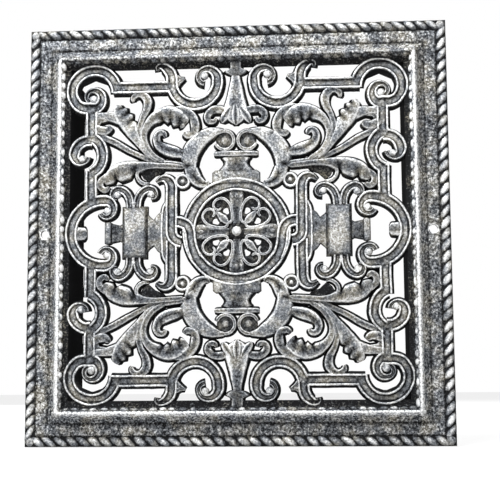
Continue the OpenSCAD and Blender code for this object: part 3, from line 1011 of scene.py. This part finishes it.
class GRILLE_OT_plates(bpy.types.Operator):
    """Model the side tablets, their balusters and the plates behind them"""

    bl_idname = "grille.plates"
    bl_label = "Side tablets"

    def execute(self, context):
        bm = new_work()
        for side in (-1, 1):
            for outline, *form in TABLETS:
                bevelled_plate(bm, [(side * x, y) for x, y in outline], *form)
        finish_piece(bm, "tablets", "relief")
        return {"FINISHED"}


# Distance of the ledge's edge from the outer edge, and how much further in it lies at the bottom
LEDGE = 31.0
LEDGE_BOTTOM = 1.4
# Sides of the frame in turn: which way they face, how much further in their ledge lies, and how far the
# wear of the band, of the crest and of the slope inside it is kept; these shares differ from side to side as
# painted light and shade, each side made lighter or darker as the light falls on it
FRAME_SIDES = (
    (Vector((0, -1)), LEDGE_BOTTOM, 0.83, 1.2, 0.85),
    (Vector((1, 0)), 0.0, 0.88, 1.25, 1.5),
    (Vector((0, 1)), 0.0, 0.93, 0.74, 0.6),
    (Vector((-1, 0)), 0.0, 0.86, 1.28, 1.4),
)
# Where the crest and the slope begin, as distances in
CREST_FROM = 22.0
SLOPE_FROM = 25.2
# How far along a side its own wear and painted light hold. The two rings there are too close to the corners:
# above 0.78 they lie past the inner corner, so that the inner part of the section folds back over itself
OWN_WEAR_AND_LIGHT = 0.86
# Height of the band at the screw holes
BAND_HEIGHT = 4.05
# Section of the frame from the outer edge inwards, as (distance in, height, wear)
MOULDING = [
    (0.0, 0.0, 0.0), (0.1, 2.4, 0.2), (0.5, 3.0, 0.3), (7.0, 2.8, 0.05), (7.6, 3.0, 0.15), (8.4, 3.8, 0.4),
    (9.0, 4.0, 0.46), (12.0, BAND_HEIGHT, 0.46), (14.8, 4.1, 0.46), (15.8, 3.9, 0.36), (16.3, 3.5, 0.2),
    (16.7, 3.4, 0.18), (17.2, 3.8, 0.34), (18.4, 4.5, 0.42), (19.8, 5.6, 0.44), (21.2, 7.4, 0.48),
    (22.2, 9.2, 0.52), (22.9, 10.4, 0.54), (23.6, 10.9, 0.66), (24.4, 11.0, 0.74), (25.0, 10.7, 0.56),
    (25.4, 10.0, 0.46), (26.4, 8.4, 0.26), (27.6, 6.6, 0.05), (28.4, 5.3, 0.04), (28.9, 4.9, -0.02),
    (LEDGE, 4.8, 0.0), (LEDGE, 0.0, 0.0), (24.6, 0.0, 0.0), (24.6, 4.6, 0.0), (22.2, 5.8, 0.0),
    (19.0, 0.0, 0.0),
]
# Screw holes: half side of the square patch cut out round one, how far off faces are cut for it, and the
# width, depth and wear of its chamfer
PATCH = 4.4
PATCH_REACH = 40
CHAMFER_WIDTH, CHAMFER_DEPTH, CHAMFER_RUB = 0.9, 0.35, 0.85


class GRILLE_OT_frame(bpy.types.Operator):
    """Model the square moulding with its ledge, hollow behind the ridge"""

    bl_idname = "grille.frame"
    bl_label = "Moulded frame"

    def execute(self, context):
        bm = new_work()
        rings = []
        for k, side in enumerate(FRAME_SIDES):
            along = Vector((-side[0].y, side[0].x))
            rings.append(self.ring(FRAME_SIDES[k - 1], side))
            rings += [self.ring(side, side, along * HALF * end) for end in (-OWN_WEAR_AND_LIGHT, OWN_WEAR_AND_LIGHT)]
        sweep(bm, rings, closed_path=True)
        drill(bm)
        finish_piece(bm, "moulding", "band")
        return {"FINISHED"}

    def ring(self, before, side, along=None):
        """The section at the mitre between two sides, or at a place along one side"""
        ring = []
        for d, h, rub in MOULDING:
            place = side[0] * (HALF - d - (side[1] if d == LEDGE else 0))
            place += before[0] * (HALF - d - (before[1] if d == LEDGE else 0)) if along is None else along
            zone = 2 + (d > CREST_FROM) + (d > SLOPE_FROM)
            ring.append(((*place, h), rub * (before[zone] + side[zone]) / 2))
        return ring


def hole_edge(bm, centre, radius, height, rub):
    """A circle of edges round a screw hole"""
    wear_and_shade = bm.verts.layers.float["wear_and_shade"]
    place = Matrix.Translation(centre + Vector((0, 0, height)))
    circle = bmesh.ops.create_circle(bm, segments=24, radius=radius, matrix=place)["verts"]
    for vert in circle:
        vert[wear_and_shade] = rub
    return list({e for v in circle for e in v.link_edges})


def drill(bm):
    """Cuts the two screw holes through the flat band, and rubs their edges bright"""
    radius, reach = mm("screw_hole") / 2, mm("screw_spacing") / 2
    for side in (-1, 1):
        centre = Vector((side * reach, 0, 0))
        # a square patch round the hole is cut out of the front and the back of the band
        for axis in ((1, 0, 0), (0, 1, 0)):
            for end in (-PATCH, PATCH):
                near = [
                    f for f in bm.faces
                    if f.normal.length and abs(f.calc_center_median().x - centre.x) < PATCH_REACH
                ]
                edges = {e for f in near for e in f.edges}
                verts = {v for f in near for v in f.verts}
                bmesh.ops.bisect_plane(
                    bm, geom=[*verts, *edges, *near], plane_co=centre + Vector(axis) * end, plane_no=axis
                )
        patch = [
            f for f in bm.faces
            if abs(f.calc_center_median().x - centre.x) < PATCH and abs(f.calc_center_median().y) < PATCH
        ]
        front = [f for f in patch if f.calc_center_median().z > 1]
        back = [f for f in patch if f.calc_center_median().z < 1]
        loops = []
        for faces, height, rub in ((front, BAND_HEIGHT, CHAMFER_RUB), (back, 0.0, 0.0)):
            inside = {e for f in faces for e in f.edges}
            rim = [e for e in inside if sum(f in faces for f in e.link_faces) == 1]
            bmesh.ops.delete(bm, geom=faces, context="FACES_ONLY")
            bmesh.ops.delete(bm, geom=[e for e in inside if e.is_valid and e not in rim], context="EDGES")
            outer = hole_edge(bm, centre, radius + CHAMFER_WIDTH, height, rub * 0.6)
            inner = hole_edge(bm, centre, radius, max(0, height - CHAMFER_DEPTH), rub)
            bmesh.ops.triangle_fill(bm, use_beauty=True, edges=rim + outer)
            bmesh.ops.bridge_loops(bm, edges=outer + inner)
            loops += inner
        bmesh.ops.bridge_loops(bm, edges=loops)


# Low webs of one quarter behind the scrolls, where the metal lies in shade: their low wear is a painted
# shade, as (outline, height, wear)
WEBS = [
    ([(85, 106), (87.4, 112), (93, 119.4), (96, 122), (124, 122), (124, 90), (113, 92), (117.6, 100),
      (113, 110), (104, 114), (96, 111)], 2.6, -0.05),
    ([(51, 46), (56, 50), (66, 50), (70, 44), (68, 40), (64, 37), (59, 41.6), (53, 43.6)], 3.2, 0.14),
]
# Cheeks: their thickness, length and distance from the middle, and how far they stand out of the wall plane
CHEEK_THICK, CHEEK_LENGTH, CHEEK_PLACE, CHEEK_FRONT = 4, 234, 123.5, 4


class GRILLE_OT_cheeks(bpy.types.Operator):
    """Model the two cheeks and the low webs in the corners"""

    bl_idname = "grille.cheeks"
    bl_label = "Cheeks and webs"

    def execute(self, context):
        bm = new_work()
        wear_and_shade = bm.verts.layers.float["wear_and_shade"]
        for web, height, rub in WEBS:
            bevelled_plate(bm, web, height, 0.3, rub, rub - 0.1)
        quartered(bm)
        for side in (-1, 1):
            made = bmesh.ops.create_cube(bm, size=1)["verts"]
            bmesh.ops.scale(bm, vec=(CHEEK_THICK, CHEEK_LENGTH, CHEEK_BACK + CHEEK_FRONT), verts=made)
            place = (side * CHEEK_PLACE, 0, (CHEEK_FRONT - CHEEK_BACK) / 2)
            bmesh.ops.translate(bm, vec=place, verts=made)
            for vert in made:
                # painted shade: the faces towards the middle are made near black, as the shade inside the
                # cheeks; the outer faces get the plain finish
                vert[wear_and_shade] = -0.15 if abs(vert.co.x) < CHEEK_PLACE else 0.2
        finish_piece(bm, "cheeks_and_webs", "relief")
        return {"FINISHED"}


# How much the rope's brightness is scaled along the top, the left, the bottom and the right
ROPE_SIDE_BRIGHTNESS = (1.0, 1.35, 1.2, 1.45)
# Half sizes of a strand, its slant in degrees, its height, and how far it bends round the core
STRAND = (6.8, 2.8, 2.5)
STRAND_SLANT = -34
STRAND_HEIGHT, STRAND_BEND = 3.4, 1.3
# Section of the core under the strands, as (distance from its middle line, height)
ROPE_CORE = ((3.4, 1.0), (3.2, 3.2), (1.8, 4.3), (0, 4.7), (-1.8, 4.3), (-3.2, 3.2), (-3.4, 1.0))
# How far the rows of strands and beads stop short of the corners
ROW_END = 2


class GRILLE_OT_rope(bpy.types.Operator):
    """Model the rope moulding round the edge, strand by strand"""

    bl_idname = "grille.rope"
    bl_label = "Rope edge"

    def execute(self, context):
        bm = new_work()
        width = mm("rope_width")
        middle = HALF - width / 2 - 0.1
        count = round(2 * (middle - ROW_END) / mm("rope_pitch"))
        random.seed(4)
        for turn in range(4):
            for k in range(count):
                along = (k - (count - 1) / 2) * 2 * (middle - ROW_END) / count
                part = self.strand(width, ROPE_SIDE_BRIGHTNESS[turn])
                place = (along + random.uniform(-0.3, 0.3), middle, STRAND_HEIGHT)
                bmesh.ops.translate(part, vec=place, verts=part.verts)
                bmesh.ops.transform(part, matrix=quarter(turn), verts=part.verts)
                add(bm, part)
            corner = quarter(turn) @ Vector((middle - 0.3, middle - 0.3, 0))
            dome(bm, corner, 3.5, 2.7, 3.0, rub_high=0.6, segments=14)
        sweep(bm, [
            [((cx * (middle + a), cy * (middle + a), h), 0.03) for a, h in ROPE_CORE]
            for cx, cy in ((-1, -1), (1, -1), (1, 1), (-1, 1))
        ], closed_path=True)
        finish_piece(bm, "rope", "relief")
        return {"FINISHED"}

    def strand(self, width, rub):
        """One strand, wrapped round the half-round core"""
        part = new_work()
        wear_and_shade = part.verts.layers.float["wear_and_shade"]
        bmesh.ops.create_uvsphere(part, u_segments=14, v_segments=8, radius=1)
        length, thick = STRAND[0] * random.uniform(0.9, 1.06), STRAND[1] * random.uniform(0.9, 1.08)
        bmesh.ops.scale(part, vec=(length, thick, STRAND[2]), verts=part.verts)
        slant = Matrix.Rotation(math.radians(STRAND_SLANT + random.uniform(-4, 4)), 3, "Z")
        bright = random.uniform(0.38, 0.58) * rub
        bmesh.ops.rotate(part, cent=(0, 0, 0), matrix=slant, verts=part.verts)
        for vert in part.verts:
            vert[wear_and_shade] = 0.1 + bright * max(0, min(1, (vert.co.z - 0.8) / 1.6))
            lean = vert.co.y / (width / 2)
            vert.co.y = max(-width / 2, min(width / 2, vert.co.y))
            vert.co.z -= STRAND_BEND * lean * lean
        return part


# How bright the beads are in the same order, from their wear and from painted light and shade by side: the
# row under the top of the frame, whose slope faces down, the darkest
BEAD_RUB_AND_LIGHT = (0.35, 0.92, 0.66, 0.95)
# Their row: its distance in and its height, how far the slope tilts them in degrees, and their half thickness
BEADS_IN, BEADS_HEIGHT = 26.0, 8.6
BEAD_TILT = 50
BEAD_THICK = 1.5


class GRILLE_OT_beads(bpy.types.Operator):
    """Model the row of beads on the inner slope of the frame"""

    bl_idname = "grille.beads"
    bl_label = "Beads"

    def execute(self, context):
        bm = new_work()
        pitch = mm("bead_pitch")
        middle = HALF - BEADS_IN
        count = round(2 * (middle - ROW_END) / pitch)
        tilt = Matrix.Rotation(math.radians(BEAD_TILT), 3, "X")
        random.seed(7)
        for turn, rub in enumerate(BEAD_RUB_AND_LIGHT):
            for k in range(count):
                along = (k - (count - 1) / 2) * pitch + random.uniform(-0.9, 0.9)
                part = new_work()
                wear_and_shade = part.verts.layers.float["wear_and_shade"]
                bmesh.ops.create_uvsphere(part, u_segments=10, v_segments=6, radius=1)
                size = (pitch * random.uniform(0.34, 0.56), random.uniform(1.4, 2.7), BEAD_THICK)
                shine = rub * random.uniform(0.5, 1.0)
                bmesh.ops.scale(part, vec=size, verts=part.verts)
                for vert in part.verts:
                    vert[wear_and_shade] = 0.12 + shine * max(0, vert.co.z / BEAD_THICK)
                bmesh.ops.rotate(part, cent=(0, 0, 0), matrix=tilt, verts=part.verts)
                bmesh.ops.translate(part, vec=(along, middle, BEADS_HEIGHT), verts=part.verts)
                bmesh.ops.transform(part, matrix=quarter(turn), verts=part.verts)
                add(bm, part)
        finish_piece(bm, "beads", "relief")
        return {"FINISHED"}


# Stage

# Camera fitted to the outline of the face: its lens, the point it looks at and its roll
SENSOR_MM = 36.0
LENS_MM = 79.2
LENS = (64.4, -105.6, 783.2)
AIM = (9.29, -13.16, 0.0)
ROLL = -0.39
# Lamps in metres, as (name, place, size, power, colour), all aimed at the middle of the grille
LAMPS = (
    ("key", (-0.14, -0.42, 0.64), 0.35, 12.3, (0.93, 0.96, 1.0)),
    ("fill", (0.3, -1.3, 0.1), 0.7, 2.5, (1.0, 0.93, 0.8)),
    ("behind", (-0.4, 1.1, 0.6), 1.3, 30, (1.0, 1.0, 1.0)),
)
# Strength of the world on the object and where it is seen, and how much of the floor shows as plain white
WORLD_LIGHT, WORLD_SEEN = 0.15, 1.0
FLOOR_WHITE = 0.82
FLOOR_GAP = 0.0006


class GRILLE_OT_stage(bpy.types.Operator):
    """Set up the pale floor, the lamps and the camera"""

    bl_idname = "grille.stage"
    bl_label = "Stage"

    def execute(self, context):
        scene = context.scene
        scene.view_settings.view_transform = "Standard"
        world = bpy.data.worlds.new("studio")
        scene.world = world
        world.use_nodes = True
        tree = world.node_tree
        background = tree.nodes["Background"]
        path = tree.nodes.new("ShaderNodeLightPath")
        seen = math_node(tree, "MAXIMUM", path.outputs["Is Camera Ray"], path.outputs["Is Transmission Ray"])
        seen = math_node(tree, "MAXIMUM", seen, path.outputs["Is Glossy Ray"])
        strength = tree.nodes.new("ShaderNodeMix")
        strength.inputs[2].default_value = WORLD_LIGHT
        strength.inputs[3].default_value = WORLD_SEEN
        tree.links.new(seen, strength.inputs[0])
        tree.links.new(strength.outputs[0], background.inputs["Strength"])
        background.inputs["Color"].default_value = (1, 1, 1, 1)
        for lamp in LAMPS:
            self.lamp(*lamp)
        self.floor()
        self.camera(scene)
        return {"FINISHED"}

    def lamp(self, name, place, size, power, colour):
        light = bpy.data.lights.new(name, "AREA")
        light.size = size
        light.energy = power
        light.color = colour
        lamp = bpy.data.objects.new(name, light)
        lamp.location = place
        lamp.rotation_euler = (-Vector(place)).to_track_quat("-Z", "Y").to_euler()
        bpy.context.scene.collection.objects.link(lamp)

    def floor(self):
        bm = bmesh.new()
        bmesh.ops.create_grid(bm, x_segments=1, y_segments=1, size=3)
        bmesh.ops.translate(bm, vec=(0, 0, LOW.z - FLOOR_GAP), verts=bm.verts)
        mesh = bpy.data.meshes.new("floor")
        bm.to_mesh(mesh)
        bm.free()
        floor = bpy.data.objects.new("floor", mesh)
        bpy.context.scene.collection.objects.link(floor)
        material = bpy.data.materials.new("pale floor")
        material.use_nodes = True
        tree = material.node_tree
        shader = tree.nodes["Principled BSDF"]
        shader.inputs["Base Color"].default_value = (0.9, 0.9, 0.9, 1)
        shader.inputs["Roughness"].default_value = 0.9
        path = tree.nodes.new("ShaderNodeLightPath")
        pale = tree.nodes.new("ShaderNodeEmission")
        blend = tree.nodes.new("ShaderNodeMixShader")
        seen = math_node(tree, "MAXIMUM", path.outputs["Is Camera Ray"], path.outputs["Is Glossy Ray"])
        tree.links.new(math_node(tree, "MULTIPLY", seen, FLOOR_WHITE), blend.inputs[0])
        tree.links.new(shader.outputs[0], blend.inputs[1])
        tree.links.new(pale.outputs[0], blend.inputs[2])
        tree.links.new(blend.outputs[0], tree.nodes["Material Output"].inputs["Surface"])
        mesh.materials.append(material)

    def camera(self, scene):
        data = bpy.data.cameras.new("camera")
        data.sensor_width = SENSOR_MM
        data.sensor_fit = "HORIZONTAL"
        data.lens = LENS_MM
        camera = bpy.data.objects.new("camera", data)
        bpy.context.scene.collection.objects.link(camera)
        place, aim = STAND @ Vector(LENS), STAND @ Vector(AIM)
        turn = (aim - place).to_track_quat("-Z", "Y") @ Quaternion((0, 0, 1), math.radians(ROLL))
        camera.matrix_world = Matrix.LocRotScale(place, turn, None)
        scene.camera = camera


class GRILLE_PT_panel(bpy.types.Panel):
    """Lists the pieces of the grille"""

    bl_label = "Cast iron grille"
    bl_idname = "GRILLE_PT_panel"
    bl_space_type = "VIEW_3D"
    bl_region_type = "UI"
    bl_category = "Grille"

    def draw(self, context):
        for name in GrilleSizes.__annotations__:
            self.layout.prop(context.scene.grille_sizes, name)
        for name in GrilleFinish.__annotations__:
            self.layout.prop(context.scene.grille_finish, name)
        for operator in OPERATORS:
            self.layout.operator(operator.bl_idname)


OPERATORS = (
    GRILLE_OT_frame,
    GRILLE_OT_cheeks,
    GRILLE_OT_rope,
    GRILLE_OT_beads,
    GRILLE_OT_straps,
    GRILLE_OT_leaves,
    GRILLE_OT_rosette,
    GRILLE_OT_plates,
    GRILLE_OT_stage,
)
CLASSES = (GrilleSizes, GrilleFinish, *OPERATORS, GRILLE_PT_panel)


def register():
    for cls in CLASSES:
        bpy.utils.register_class(cls)
    bpy.types.Scene.grille_sizes = PointerProperty(type=GrilleSizes)
    bpy.types.Scene.grille_finish = PointerProperty(type=GrilleFinish)


def unregister():
    del bpy.types.Scene.grille_finish
    del bpy.types.Scene.grille_sizes
    for cls in reversed(CLASSES):
        bpy.utils.unregister_class(cls)


def main():
    register()
    for operator in OPERATORS:
        group, name = operator.bl_idname.split(".")
        getattr(getattr(bpy.ops, group), name)()


if __name__ == "__main__":
    main()
